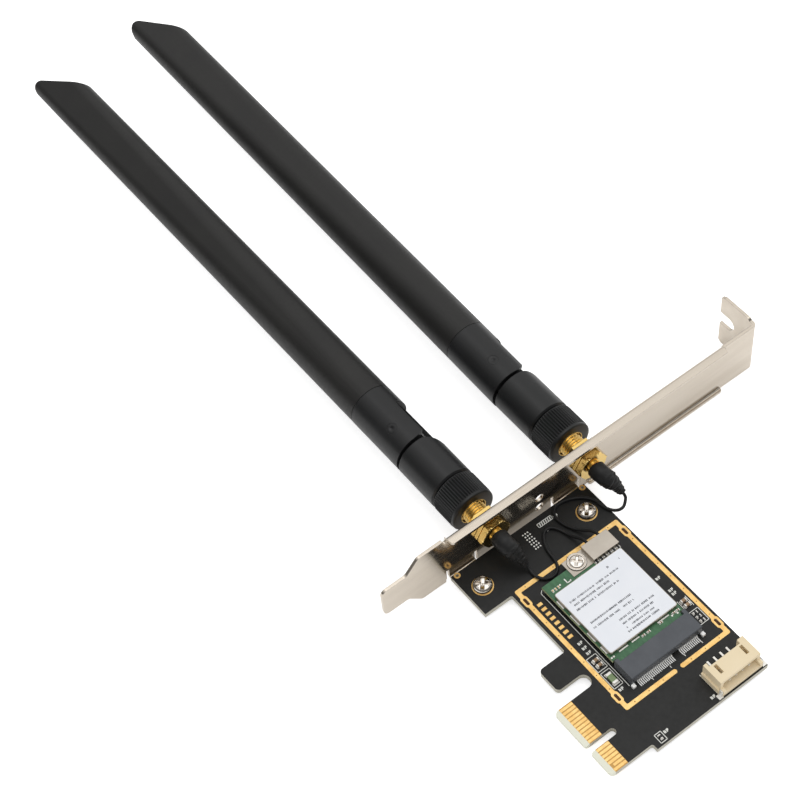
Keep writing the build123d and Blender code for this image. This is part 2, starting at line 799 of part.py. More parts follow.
# Forked collar, its folding side rounded about the pin
def make_hinge_collar():
    y0 = pin_y - body_r
    shell = rod_y(body_r, y0, seam_y)
    shell = chamfer(shell.edges().filter_by(GeomType.CIRCLE).sort_by(Axis.Y)[-1], 0.15)
    corner_x, corner_y = body_r - collar_corner_r, y0 + collar_corner_r
    square = block(corner_x, body_r + 1, y0 - 1, corner_y, -8, 8)
    shell -= square - rod_z(collar_corner_r, -9, 9, corner_x, corner_y)
    slot = block(-slot_r, body_r + 1, y0 - 1, pin_y, -fork_half, fork_half)
    slot += block(0, body_r + 1, y0 - 1, pin_y + fold_pocket, -fork_half, fork_half)
    slot += rod_z(slot_r, -fork_half, fork_half, 0, pin_y)
    shell -= slot
    shell -= rod_z(pin_r, -8, 8, 0, pin_y)
    for z in (5.85, -8):
        shell -= rod_z(pin_r + 0.3, z, z + 2.15, 0, pin_y)
    return shell + rod_y(4.75, seam_y, seam_y + 6)


def make_hinge_pin():
    pin = rod_z(pin_r, -6.05, 6.05, 0, pin_y)
    return chamfer(pin.edges().filter_by(GeomType.CIRCLE), 0.4)


# Radome: round at the collar, drawn out to a flat blade with a slanted tip
radome_y = (seam_y, 270)
radome_width = (12.66, 12.66)
radome_height = (12.7, 6.3)
radome_round = (6.3, 2.7)


def radome_section(y, inset):
    along = (y - radome_y[0]) / (radome_y[1] - radome_y[0])
    wide, high, rounding = (
        pair[0] + (pair[1] - pair[0]) * along - share * inset
        for pair, share in ((radome_width, 2), (radome_height, 2), (radome_round, 1))
    )
    flat = Plane((0, y, 0), x_dir=(1, 0, 0), z_dir=(0, 1, 0))
    return flat * RectangleRounded(wide, high, rounding)


def radome_loft(inset, last):
    return loft([radome_section(radome_y[0], inset), radome_section(last, inset)], ruled=True)


def make_radome():
    half = radome_width[1] / 2 + 0.02
    blade = radome_loft(0, radome_y[1])
    plan = make_face(
        Polyline(
            (-half, seam_y + 120), (-half, tip_long_y), (half, tip_short_y), (half + 2, tip_short_y),
            (half + 2, tip_long_y + 9), (-half - 2, tip_long_y + 9), (-half - 2, seam_y + 120), close=True,
        )
    )
    plan = fillet(near(plan, -half, tip_long_y), tip_round)
    blade -= Pos(0, 0, -10) * extrude(plan, 20)
    return blade - radome_loft(radome_wall, tip_short_y - 4)


def make_radiator():
    return block(-3.2, 3.2, seam_y + 6, seam_y + 110, -0.4, 0.4)


# Assembly: one closed solid or group of solids per named piece
pieces = {
    "pcb": make_pcb(),
    "edge_contacts": make_edge_contacts(),
    "ground_trace": make_ground_trace(),
    "screw_pads": make_screw_pads(),
    "bracket": make_bracket(),
    "bracket_screws": make_bracket_screws(),
    "module_socket": make_module_socket(),
    "socket_contacts": make_socket_contacts(),
    "module_board": make_module_board(),
    "shield_can": make_shield_can(),
    "radio_chip": make_radio_chip(),
    "module_label": make_module_label(),
    "module_passives": make_module_passives(),
    "module_standoff": make_module_standoff(),
    "cover_clip": make_cover_clip(),
    "module_screw": make_module_screw(),
    "coax_receptacles": make_coax_receptacles(),
    "coax_plugs": make_coax_plugs(),
    "header_housing": make_header_housing(),
    "header_pins": make_header_pins(),
    "header_anchors": make_header_anchors(),
    "chip_capacitors": make_chip_capacitors(),
    "chip_resistors": make_chip_resistors(),
    "fuse": make_fuse(),
}
for side in sides:
    at_jack = Pos(jack_x[side], 0, jack_z)
    rolled = at_jack * Rot(0, -roll[side], 0)
    folded = rolled * Pos(0, pin_y, 0) * Rot(0, 0, -lean[side]) * Pos(0, -pin_y, 0)
    pieces.update({
        f"{side}_jack_body": at_jack * make_jack_body(),
        f"{side}_jack_insulator": at_jack * make_jack_insulator(),
        f"{side}_jack_contact": at_jack * make_jack_contact(),
        f"{side}_jack_washer": at_jack * make_jack_washer(),
        f"{side}_jack_nut": at_jack * make_jack_nut(),
        f"{side}_boot": make_boot(side),
        f"{side}_cable": make_cable(side),
        f"{side}_coupling_nut": at_jack * make_coupling_nut(),
        f"{side}_nut_insert": at_jack * make_nut_insert(),
        f"{side}_plug_body": at_jack * make_plug_body(),
        f"{side}_plug_insulator": at_jack * make_plug_insulator(),
        f"{side}_plug_contact": at_jack * make_plug_contact(),
        f"{side}_base_barrel": rolled * make_base_barrel(),
        f"{side}_hinge_collar": folded * make_hinge_collar(),
        f"{side}_hinge_pin": folded * make_hinge_pin(),
        f"{side}_radome": folded * make_radome(),
        f"{side}_radiator": folded * make_radiator(),
    })

os.makedirs("parts", exist_ok=True)
for name, piece in pieces.items():
    export_step(piece, os.path.join("parts", name + ".step"))
print(len(pieces), "pieces, left antenna rolled", round(left_roll, 2), "degrees")
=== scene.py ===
import json
import math
import bmesh
import bpy
import numpy as np
from mathutils import Matrix, Vector


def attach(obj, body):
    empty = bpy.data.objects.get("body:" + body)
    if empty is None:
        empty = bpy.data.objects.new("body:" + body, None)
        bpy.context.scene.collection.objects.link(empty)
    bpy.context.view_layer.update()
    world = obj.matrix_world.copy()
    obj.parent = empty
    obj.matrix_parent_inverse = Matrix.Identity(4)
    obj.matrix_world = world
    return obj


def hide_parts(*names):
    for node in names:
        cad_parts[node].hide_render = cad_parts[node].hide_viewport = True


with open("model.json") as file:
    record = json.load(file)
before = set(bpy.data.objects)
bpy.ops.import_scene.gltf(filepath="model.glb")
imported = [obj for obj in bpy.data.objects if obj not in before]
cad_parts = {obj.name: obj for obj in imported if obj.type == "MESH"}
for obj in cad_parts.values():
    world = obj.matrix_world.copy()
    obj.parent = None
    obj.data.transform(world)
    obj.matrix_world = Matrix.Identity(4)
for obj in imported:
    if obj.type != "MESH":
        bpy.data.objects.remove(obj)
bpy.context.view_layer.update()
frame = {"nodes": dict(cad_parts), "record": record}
cadNodes = frame["nodes"]
scene = bpy.context.scene
mm = 0.001
boardTop = 0.785  # height of the board's upper face, mm
moduleTop = 3.035  # height of the module board's upper face, mm
fullTurn = 2 * np.pi


# camera: axes from the sight line, turned by the roll about it
camera = {
    "lens": 89.48, "sensor": 36, "near": 0.01, "place": (-133.56, -153.20, 419.46),
    "sight": (0.3100, 0.5018, -0.8075), "roll": -6.98,
}


def placeCamera(c):
    sight = Vector(c["sight"]).normalized()
    side = sight.cross(Vector((0, 0, 1))).normalized()
    up = side.cross(sight)
    turn = math.radians(c["roll"])
    right = side * math.cos(turn) + up * math.sin(turn)
    over = up * math.cos(turn) - side * math.sin(turn)
    lens = bpy.data.cameras.new("cardCamera")
    lens.lens = c["lens"]
    lens.sensor_width = c["sensor"]
    lens.clip_start = c["near"]
    eye = bpy.data.objects.new("cardCamera", lens)
    axes = Matrix((right, over, -sight)).transposed().to_4x4()
    axes.translation = Vector(c["place"]) * mm
    eye.matrix_world = axes
    scene.collection.objects.link(eye)
    scene.camera = eye


placeCamera(camera)


# node helpers for the materials
def addNode(tree, kind, inputs=None, **settings):
    made = tree.nodes.new("ShaderNode" + kind)
    for key, value in settings.items():
        setattr(made, key, value)
    for key, value in (inputs or {}).items():
        if isinstance(value, bpy.types.NodeSocket):
            tree.links.new(value, made.inputs[key])
        else:
            made.inputs[key].default_value = value
    return made


def maths(tree, operation, first, second=0.0):
    return addNode(tree, "Math", {0: first, 1: second}, operation=operation).outputs[0]


def remap(tree, value, low, high, newLow, newHigh):
    ends = {"Value": value, "From Min": low, "From Max": high, "To Min": newLow, "To Max": newHigh}
    return addNode(tree, "MapRange", ends).outputs["Result"]


def mixColour(tree, factor, first, second):
    return addNode(tree, "Mix", {0: factor, 6: first, 7: second}, data_type="RGBA").outputs[2]


def noise(tree, place, scale, detail=2.0, stretch=None):
    if stretch:
        place = addNode(tree, "Mapping", {"Vector": place, "Scale": stretch}).outputs["Vector"]
    return addNode(tree, "TexNoise", {"Vector": place, "Scale": scale, "Detail": detail}).outputs["Fac"]


# screen colour, 0 to 255, as linear light
def tone(red, green, blue):
    part = np.array((red, green, blue)) / 255
    light = np.where(part <= 0.04045, part / 12.92, ((part + 0.055) / 1.055) ** 2.4)
    return (*light.tolist(), 1.0)


# studio: soft lamps and an even sky, white for the camera; reflections meet one wide window, behind and above, and
# dim walls elsewhere
studio = {
    "ambient": 0.74,
    "room": {"aim": (0.26, 0.46, 0.85), "span": (0.35, 0.95), "light": (0.18, 1.0)},
    "lamps": {
        "overLamp": {"place": (0.10, 0.05, 0.80), "aim": (0.04, 0.10, 0.0), "size": 0.8, "power": 1.5},
        "sideLamp": {"place": (0.70, 0.10, 0.30), "aim": (0.03, 0.12, 0.0), "size": 0.5, "power": 0.8},
    },
    "floorTone": tone(246, 246, 246),
    "floorGlow": (0.62, 0.22),  # added white for the camera and for reflections
    "floorHeight": -2.42,
    "floorReach": 3.0,
}


def seenBy(tree):
    path = addNode(tree, "LightPath").outputs
    mirrored = maths(tree, "MAXIMUM", path["Is Glossy Ray"], path["Is Transmission Ray"])
    return path["Is Camera Ray"], mirrored


def buildSky(s):
    world = bpy.data.worlds.new("studioWorld")
    scene.world = world
    world.use_nodes = True
    tree = world.node_tree
    sky = tree.nodes["Background"]
    sky.inputs["Color"].default_value = (1, 1, 1, 1)
    seen, mirrored = seenBy(tree)
    toward = {0: addNode(tree, "TexCoord").outputs["Generated"], 1: s["room"]["aim"]}
    facing = addNode(tree, "VectorMath", toward, operation="DOT_PRODUCT").outputs["Value"]
    room = remap(tree, facing, *s["room"]["span"], *s["room"]["light"])
    change = maths(tree, "MULTIPLY", mirrored, maths(tree, "SUBTRACT", room, s["ambient"]))
    light = maths(tree, "ADD", s["ambient"], change)
    tree.links.new(maths(tree, "MAXIMUM", light, seen), sky.inputs["Strength"])


def hangLamps(s):
    for name, lamp in s["lamps"].items():
        light = bpy.data.lights.new(name, "AREA")
        light.size = lamp["size"]
        light.energy = lamp["power"]
        stand = bpy.data.objects.new(name, light)
        stand.location = lamp["place"]
        aim = Vector(lamp["aim"]) - Vector(lamp["place"])
        stand.rotation_euler = aim.to_track_quat("-Z", "Y").to_euler()
        scene.collection.objects.link(stand)


def layFloor(s):
    paint = bpy.data.materials.new("studioFloor")
    paint.use_nodes = True
    tree = paint.node_tree
    tree.nodes.clear()
    matt = addNode(tree, "BsdfDiffuse", {"Color": s["floorTone"]})
    glow = addNode(tree, "Emission", {"Color": (1, 1, 1, 1)})
    seen, mirrored = seenBy(tree)
    direct = maths(tree, "MULTIPLY", seen, s["floorGlow"][0])
    bounced = maths(tree, "MULTIPLY", mirrored, s["floorGlow"][1])
    tree.links.new(maths(tree, "MAXIMUM", direct, bounced), glow.inputs["Strength"])
    both = addNode(tree, "AddShader", {0: matt.outputs[0], 1: glow.outputs[0]})
    out = addNode(tree, "OutputMaterial")
    tree.links.new(both.outputs[0], out.inputs["Surface"])
    corner = np.array([(-1, -1), (1, -1), (1, 1), (-1, 1)]) * s["floorReach"]
    mesh = bpy.data.meshes.new("studioFloor")
    mesh.from_pydata([(x, y, s["floorHeight"] * mm) for x, y in corner], [], [(0, 1, 2, 3)])
    mesh.materials.append(paint)
    floor = bpy.data.objects.new("studioFloor", mesh)
    scene.collection.objects.link(floor)


buildSky(studio)
hangLamps(studio)
layFloor(studio)
scene.view_settings.view_transform = "Standard"
print("studio and camera ready")


# a finish: two tones and two roughnesses that drift with noise, a fine bump, and edges rounded in the shading
noiseSpan = (0.3, 0.7)
bevelSamples = 6


def makeFinish(name, f):
    made = bpy.data.materials.new(name)
    made.use_nodes = True
    tree = made.node_tree
    shader = tree.nodes["Principled BSDF"]
    shader.inputs["Metallic"].default_value = f.get("metal", 0.0)
    shader.inputs["Specular IOR Level"].default_value = f.get("gloss", 0.5)
    place = addNode(tree, "TexCoord").outputs["Object"]
    drift = noise(tree, place, f.get("driftScale", 250), 3.0, f.get("stretch"))
    drift = remap(tree, drift, *noiseSpan, 0, 1)
    colour = mixColour(tree, drift, f["tones"][0], f["tones"][1])
    patches = noise(tree, place, f.get("roughScale", 900), 2.0, f.get("stretch"))
    rough = remap(tree, patches, *noiseSpan, *f["rough"])
    radius = f.get("edge", 0.1) * mm
    rounded = addNode(tree, "Bevel", {"Radius": radius}, samples=bevelSamples).outputs["Normal"]
    grain = noise(tree, place, f.get("grainScale", 5000), 2.0, f.get("stretch"))
    bump = {"Height": grain, "Strength": f.get("grainStrength", 0.15), "Distance": f.get("grainDepth", 0.02) * mm}
    bump["Normal"] = rounded
    relief = addNode(tree, "Bump", bump).outputs["Normal"]
    tree.links.new(colour, shader.inputs["Base Color"])
    tree.links.new(rough, shader.inputs["Roughness"])
    tree.links.new(relief, shader.inputs["Normal"])
    return made


# plain finishes by material slot
plainFinishes = {
    "bright_screw": {
        "tones": (tone(214, 207, 198), tone(228, 222, 214)), "metal": 1.0, "rough": (0.08, 0.14), "edge": 0.05,
        "grainStrength": 0.02,
    },
    "slate_plastic": {
        "tones": (tone(76, 79, 84), tone(84, 87, 92)), "rough": (0.34, 0.46), "gloss": 0.35, "edge": 0.12,
    },
    "tin": {
        "tones": (tone(224, 221, 214), tone(238, 236, 230)), "metal": 0.5, "rough": (0.32, 0.45), "edge": 0.06,
        "grainStrength": 0.05,
    },
    "black_ceramic": {"tones": (tone(34, 34, 35), tone(46, 46, 48)), "rough": (0.45, 0.6), "edge": 0.05},
    "tan_ceramic": {"tones": (tone(146, 118, 88), tone(168, 140, 108)), "rough": (0.4, 0.55), "edge": 0.06},
    "ivory_plastic": {
        "tones": (tone(235, 217, 181), tone(240, 223, 190)), "rough": (0.35, 0.5), "gloss": 0.4, "edge": 0.12,
        "driftScale": 120,
    },
    "white_ceramic": {"tones": (tone(120, 142, 98), tone(150, 168, 126)), "rough": (0.4, 0.55), "edge": 0.06},
    "gold_brass": {
        "tones": (tone(238, 202, 122), tone(245, 212, 136)), "metal": 1.0, "rough": (0.17, 0.21), "edge": 0.08,
        "grainStrength": 0.0, "driftScale": 120,
    },
    "white_insulator": {"tones": (tone(228, 227, 222), tone(238, 237, 233)), "rough": (0.3, 0.4), "edge": 0.05},
    "black_sleeve": {
        "tones": (tone(25, 25, 25), tone(33, 33, 33)), "rough": (0.4, 0.55), "gloss": 0.32, "edge": 0.1,
        "grainScale": 2600, "grainDepth": 0.03, "grainStrength": 0.3,
    },
    "black_plastic": {
        "tones": (tone(21, 22, 22), tone(26, 26, 27)), "rough": (0.3, 0.38), "gloss": 0.4, "edge": 0.18,
        "grainScale": 4200, "grainDepth": 0.02, "grainStrength": 0.14, "driftScale": 90,
    },
    "steel_pin": {
        "tones": (tone(27, 27, 27), tone(33, 33, 33)), "rough": (0.34, 0.42), "gloss": 0.4, "edge": 0.5,
    },
    "copper_strip": {
        "tones": (tone(190, 126, 86), tone(208, 144, 100)), "metal": 1.0, "rough": (0.25, 0.4), "edge": 0.05,
    },
    "gold_plate": {
        "tones": (tone(232, 184, 106), tone(250, 212, 140)), "metal": 0.55, "rough": (0.3, 0.46), "edge": 0.03,
        "driftScale": 600, "grainStrength": 0.05,
    },
}
finishes = {name: makeFinish(name, f) for name, f in plainFinishes.items()}

# folded sheet: nickel plate with faint rolling lines along the bracket
sheetFinish = {
    "tones": (tone(208, 197, 182), tone(217, 207, 193)), "metal": 1.0, "rough": (0.14, 0.22), "edge": 0.2,
    "stretch": (0.12, 1.0, 1.0), "driftScale": 300, "roughScale": 1400, "grainScale": 2600,
    "grainDepth": 0.004, "grainStrength": 0.2,
}
finishes["plated_sheet"] = makeFinish("plated_sheet", sheetFinish)

# pressed cover and shield can: duller tinned sheet
coverFinish = {
    "tones": (tone(171, 163, 152), tone(182, 174, 163)), "metal": 1.0, "rough": (0.3, 0.4), "edge": 0.08,
    "driftScale": 180, "grainStrength": 0.06,
}
coverSheet = makeFinish("coverSheet", coverFinish)

# antenna blades: a duller, warmer moulding than the turned pieces below them
bladeFinish = {
    "tones": (tone(24, 23, 22), tone(29, 28, 26)), "rough": (0.38, 0.46), "gloss": 0.38, "edge": 0.22,
    "driftScale": 90, "grainScale": 4200, "grainDepth": 0.02, "grainStrength": 0.2,
}
bladeSkin = makeFinish("bladeSkin", bladeFinish)

# black board: satin mask on the faces, pale laminate on the cut sides, gold between the edge contacts and a pale bevel
boardFinish = {
    "tones": (tone(25, 25, 24), tone(31, 31, 30)), "rough": (0.4, 0.52), "gloss": 0.3, "edge": 0.06,
    "driftScale": 160, "grainScale": 3600, "grainDepth": 0.012, "grainStrength": 0.2,
    "laminate": (tone(186, 182, 168), tone(204, 200, 186)), "bareTo": (5.05, 13.0), "bevelTo": 1.32,
    "bare": tone(206, 160, 88), "bevelTone": tone(240, 240, 222),
}
plies = {"scale": 900, "stretch": (0.3, 0.3, 4.0), "span": (0.35, 0.65), "flatFrom": 0.97}


def layered(name, f):
    made = makeFinish(name, f)
    tree = made.node_tree
    shader = tree.nodes["Principled BSDF"]
    mask = shader.inputs["Base Color"].links[0].from_socket
    place = addNode(tree, "TexCoord").outputs["Object"]
    facing = addNode(tree, "SeparateXYZ", {0: addNode(tree, "NewGeometry").outputs["Normal"]}).outputs["Z"]
    side = maths(tree, "LESS_THAN", maths(tree, "ABSOLUTE", facing), plies["flatFrom"])
    cloth = remap(tree, noise(tree, place, plies["scale"], 2.0, plies["stretch"]), *plies["span"], 0, 1)
    if "bareTo" in f:
        at = addNode(tree, "SeparateXYZ", {0: place}).outputs
        tab = maths(tree, "LESS_THAN", at["Y"], f["bareTo"][1] * mm)
        bare = maths(tree, "MULTIPLY", maths(tree, "LESS_THAN", at["X"], f["bareTo"][0] * mm), tab)
        bevel = maths(tree, "MULTIPLY", maths(tree, "LESS_THAN", at["X"], f["bevelTo"] * mm), tab)
        mask = mixColour(tree, bare, mask, f["bare"])
    colour = mixColour(tree, side, mask, mixColour(tree, cloth, *f["laminate"]))
    if "bareTo" in f:
        colour = mixColour(tree, bevel, colour, f["bevelTone"])
    tree.links.new(colour, shader.inputs["Base Color"])
    return made


finishes["black_board"] = layered("black_board", boardFinish)

# green module board: mask with fine darker tracks under it
moduleFinish = {
    "tones": (tone(44, 92, 58), tone(62, 114, 74)), "rough": (0.3, 0.42), "edge": 0.05, "driftScale": 1500,
    "stretch": (1.0, 0.35, 1.0), "laminate": (tone(150, 160, 120), tone(176, 182, 142)),
}
finishes["green_board"] = layered("green_board", moduleFinish)

# paper label: cool white with soft cockles
labelFinish = {
    "tones": (tone(233, 236, 242), tone(240, 242, 246)), "rough": (0.38, 0.5), "gloss": 0.45, "edge": 0.03,
    "driftScale": 130, "grainScale": 260, "grainDepth": 0.08, "grainStrength": 0.12,
}
finishes["white_label"] = makeFinish("white_label", labelFinish)

# inks, painted shades for the holes and slots, and the socket's feet in a tin whitened as painted light against the
# socket's shade
inkFinishes = {
    "whiteInk": {
        "tones": (tone(236, 236, 228), tone(246, 246, 240)), "rough": (0.5, 0.65), "gloss": 0.3, "edge": 0.01,
    },
    "greyInk": {"tones": (tone(44, 46, 54), tone(70, 72, 80)), "rough": (0.5, 0.65), "gloss": 0.3, "edge": 0.01},
    "viaShade": {"tones": (tone(120, 84, 40), tone(150, 108, 56)), "metal": 0.5, "rough": (0.4, 0.5), "edge": 0.01},
    # tin whitened past its own colour and made non-metal: painted light on feet that the socket shades
    "paintedLightTin": {"tones": (tone(250, 250, 247), tone(253, 253, 251)), "rough": (0.3, 0.4), "edge": 0.03},
    "slotShade": {"tones": (tone(70, 40, 14), tone(96, 58, 24)), "rough": (0.4, 0.55), "gloss": 0.3, "edge": 0.02},
}
inks = {name: makeFinish(name, f) for name, f in inkFinishes.items()}

# nodes whose finish differs from their slot's
specialFinishes = {
    "cover_clip": coverSheet, "shield_can": coverSheet, "module_standoff": coverSheet,
    "left_radome": bladeSkin, "right_radome": bladeSkin, "socket_contacts": inks["paintedLightTin"],
}
slotOf = {part["node"]: part["material_slot"] for part in frame["record"]["subparts"]}
for nodeName, shape in cadNodes.items():
    shape.data.materials.clear()
    shape.data.materials.append(specialFinishes.get(nodeName) or finishes[slotOf[nodeName]])
print("finishes on", len(cadNodes), "nodes")


# a finished mesh: points in mm, faces turned outwards, smooth but for sharp folds
def makePiece(name, points, faces, body, finish, slotName, replaced=(), crease=40):
    mesh = bpy.data.meshes.new(name)
    mesh.from_pydata((np.asarray(points, float).reshape(-1, 3) * mm).tolist(), [], faces)
    shell = bmesh.new()
    shell.from_mesh(mesh)
    bmesh.ops.recalc_face_normals(shell, faces=shell.faces[:])
    shell.to_mesh(mesh)
    shell.free()
    mesh.polygons.foreach_set("use_smooth", np.ones(len(mesh.polygons), bool))
    mesh.set_sharp_from_angle(angle=math.radians(crease))
    mesh.materials.append(finish)
    piece = bpy.data.objects.new(name, mesh)
    scene.collection.objects.link(piece)
    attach(piece, body)
    if replaced:
        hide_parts(*replaced)
    return piece


# quads between neighbouring rings of a grid; the end rings get one flat face each unless the rows loop
def ringFaces(rows, columns, loop=False):
    last = rows if loop else rows - 1
    i, j = np.meshgrid(np.arange(last), np.arange(columns), indexing="ij")
    k = (i + 1) % rows
    m = (j + 1) % columns
    quads = np.stack([i * columns + j, i * columns + m, k * columns + m, k * columns + j], -1)
    faces = quads.reshape(-1, 4).tolist()
    if loop:
        return faces
    ends = np.arange(columns)
    return faces + [ends[::-1].tolist(), (ends + (rows - 1) * columns).tolist()]


# the same faces for many copies of one shape, each a fixed count of points further on
def repeatFaces(faces, copies, points):
    return [[p + points * c for p in face] for c in range(copies) for face in faces]


# angles round one turn, as a row
def roundAngles(columns):
    return np.linspace(0, fullTurn, columns, endpoint=False)[None, :]


# rings about a line along Y: a radius at each height and angle
def aboutY(x, y, z, radius, angle):
    return np.stack(np.broadcast_arrays(x + radius * np.cos(angle), y, z + radius * np.sin(angle)), -1)


# bars: each runs from its first to its second point on the plan, as a closed box between two heights
def bars(ends, width, low, high):
    ends = np.asarray(ends, float)
    start, stop = ends[:, :2], ends[:, 2:4]
    along = (stop - start) / np.linalg.norm(stop - start, axis=1, keepdims=True)
    half = np.broadcast_to(np.asarray(width, float).reshape(-1, 1) / 2, (len(ends), 1))
    across = np.stack([-along[:, 1], along[:, 0]], 1) * half
    plan = np.stack([start - across, stop - across, stop + across, start + across], 1)
    heights = np.broadcast_to(np.array([low, high], float).reshape(1, 2, 1, 1), (len(ends), 2, 4, 1))
    points = np.concatenate([np.broadcast_to(plan[:, None], (len(ends), 2, 4, 2)), heights], -1)
    box = [(3, 2, 1, 0), (4, 5, 6, 7), (0, 1, 5, 4), (1, 2, 6, 5), (2, 3, 7, 6), (3, 0, 4, 7)]
    return points.reshape(-1, 3), repeatFaces(box, len(ends), 8)


# prisms: one closed ring on the plan, set at many centres between two heights
def prisms(centres, ring, low, high):
    centres = np.asarray(centres, float)
    count, columns = len(centres), len(ring)
    plan = np.broadcast_to(centres[:, None, None] + ring, (count, 2, columns, 2))
    heights = np.broadcast_to(np.array([low, high], float).reshape(1, 2, 1, 1), (count, 2, columns, 1))
    points = np.concatenate([plan, heights], -1)
    return points.reshape(-1, 3), repeatFaces(ringFaces(2, columns), count, 2 * columns)


# discs: circles on the plan, closed between two heights
def discs(centres, radius, low, high, columns=20):
    angle = roundAngles(columns)[0]
    return prisms(centres, np.stack([np.cos(angle), np.sin(angle)], -1) * radius, low, high)


# rounded blocks: balls squared off by raising each sine and cosine to a small power
def roundedBlocks(centres, halves, power=0.22, rows=9, columns=28):
    u = roundAngles(columns)
    v = np.linspace(-1.5, 1.5, rows)[:, None]
    square = lambda t: np.sign(t) * np.abs(t) ** power
    flat = square(np.cos(v))
    ball = np.broadcast_arrays(flat * square(np.cos(u)), flat * square(np.sin(u)), square(np.sin(v)))
    ball = np.stack(ball, -1)
    points = np.asarray(centres, float)[:, None, None] + np.asarray(halves, float)[:, None, None] * ball[None]
    return points.reshape(-1, 3), repeatFaces(ringFaces(rows, columns), len(points), rows * columns)


def joined(*parts):
    shift = np.cumsum([0] + [len(points) for points, faces in parts])
    faces = [[p + int(s) for p in face] for s, (points, some) in zip(shift, parts) for face in some]
    return np.concatenate([points for points, some in parts]), faces


# pigtail cables: one smooth spline each, jack to module
cables = {
    "diameter": 0.81, "flatHeight": 1.285, "roundSteps": 5, "lengthSteps": 10, "order": 3,
    "left": {
        "length": 36.6,
        "start": [(19.9, 46.6, 2.6), (20.1442, 46.007, 1.8326)],
        "flat": [(19.9, 43.7), (20.9, 41.2), (23.4, 40.1), (25.7, 41.2), (26.7, 43.5), (26.9, 46.6),
                 (28.0, 49.6), (29.6, 51.6), (31.7, 51.8), (33.1, 50.0), (33.8, 47.3)],
        "rise": [(34.4, 45.0, 2.1), (34.9, 42.6, 3.685), (34.9, 40.4, 3.685)],
    },
    "right": {
        "length": 40.5,
        "start": [(51.3, 47.1, 3.4), (51.7472, 46.2056, 2.282), (50.7, 45.2, 1.7)],
        "flat": [(49.4, 44.4), (47.6, 44.7), (46.2, 46.4), (45.7, 48.6), (45.4, 50.9), (43.7, 53.3),
                 (41.0, 54.9), (38.3, 55.7), (36.0, 55.3), (34.6, 53.4), (34.7, 50.8), (35.6, 48.3)],
        "rise": [(36.9, 45.7, 1.8), (38.6, 42.8, 3.685), (38.6, 40.4, 3.685)],
    },
}


def layCable(side, c):
    curve = bpy.data.curves.new(side + "Pigtail", "CURVE")
    curve.dimensions = "3D"
    curve.bevel_depth = c["diameter"] / 2 * mm
    curve.bevel_resolution = c["roundSteps"]
    curve.resolution_u = c["lengthSteps"]
    flat = [(x, y, c["flatHeight"]) for x, y in c[side]["flat"]]
    route = np.array(c[side]["start"] + flat + c[side]["rise"]) * mm
    line = curve.splines.new("NURBS")
    line.points.add(len(route) - 1)
    line.points.foreach_set("co", np.column_stack([route, np.ones(len(route))]).ravel())
    line.order_u = c["order"]
    line.use_endpoint_u = True
    curve.use_fill_caps = True
    curve.materials.append(finishes["black_sleeve"])
    piece = bpy.data.objects.new(side + "Pigtail", curve)
    scene.collection.objects.link(piece)
    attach(piece, "card")
    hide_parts(side + "_cable")


for side in ("left", "right"):
    layCable(side, cables)
print("pigtails laid")


# heat-shrink boots: a circle carried along a quartic through five points, its radius stepping down through slanting
# folds, each a bell-shaped ridge with a valley after it, and rippled by a product of sines where the sleeve has crumpled
boots = {
    "radii": (2.4, 2.4, 2.3, 1.8, 1.4, 0.95), "knots": (0, 0.3, 0.45, 0.6, 0.78, 1), "neck": 1.95, "mouth": 0.42,
    "left": {"points": [(17.9, 54.3, 7.8), (18.0, 51.4, 7.4), (18.6, 49.6, 6.2), (19.2, 48.3, 4.8), (19.9, 46.6, 2.6)],
             "turn": 0.6},
    "right": {"points": [(48.9, 54.3, 7.8), (49.1, 51.6, 7.5), (49.9, 49.8, 6.4), (50.7, 48.3, 4.9), (51.3, 47.1, 3.4)],
              "turn": 2.1},
    # place along the boot, height and width of each fold
    "folds": ((0.14, 0.04, 0.05), (0.36, 0.1, 0.02), (0.47, 0.24, 0.022), (0.58, 0.22, 0.02),
              (0.68, 0.24, 0.022), (0.78, 0.18, 0.018), (0.87, 0.18, 0.02), (0.95, 0.12, 0.016)),
    "slant": 0.045, "wrinkle": 0.07, "wrinkleFrom": 0.25, "wrinkleOver": 0.3, "waves": (5, 19, 31),
    "rows": 130, "columns": 72,
}


def makeBoot(side, b):
    ends = np.array(b[side]["points"])
    path = [np.polyfit(np.linspace(0, 1, len(ends)), axis, 4) for axis in ends.T]
    t = np.concatenate([[0, 0, 0.004], np.linspace(0.012, 0.988, b["rows"]), [0.996, 1, 1]])
    line = np.stack([np.polyval(p, t) for p in path], -1)
    ahead = np.stack([np.polyval(np.polyder(p), t) for p in path], -1)
    ahead /= np.linalg.norm(ahead, axis=1, keepdims=True)
    first = np.cross(ahead, (1.0, 0.0, 0.0))
    first /= np.linalg.norm(first, axis=1, keepdims=True)
    second = np.cross(ahead, first)
    angle = roundAngles(b["columns"])
    turn, t = b[side]["turn"], t[:, None]
    radius = np.interp(t, b["knots"], b["radii"]) * np.ones_like(angle)
    crumple = np.clip((t - b["wrinkleFrom"]) / b["wrinkleOver"], 0, 1) * b["wrinkle"]
    around, along, beat = b["waves"]
    radius += crumple * np.sin(around * angle + along * t + turn) * np.sin(beat * t)
    for i, (where, height, width) in enumerate(b["folds"]):
        past = t - where - b["slant"] * np.sin(angle + turn + 1.9 * i)
        ridge = np.exp(-((past / width) ** 2))
        valley = np.exp(-(((past - 1.9 * width) / (0.9 * width)) ** 2))
        radius += height * (ridge - 0.8 * valley) * (0.75 + 0.25 * np.cos(2 * angle + i))
    radius[0], radius[1], radius[-2], radius[-1] = b["neck"], radius[2] - 0.08, radius[-3] - 0.1, b["mouth"]
    spoke = np.cos(angle)[..., None] * first[:, None] + np.sin(angle)[..., None] * second[:, None]
    points = line[:, None] + radius[..., None] * spoke
    makePiece(side + "ShrinkBoot", points, ringFaces(*points.shape[:2]), "card", finishes["black_sleeve"],
              "black_sleeve", [side + "_boot"])


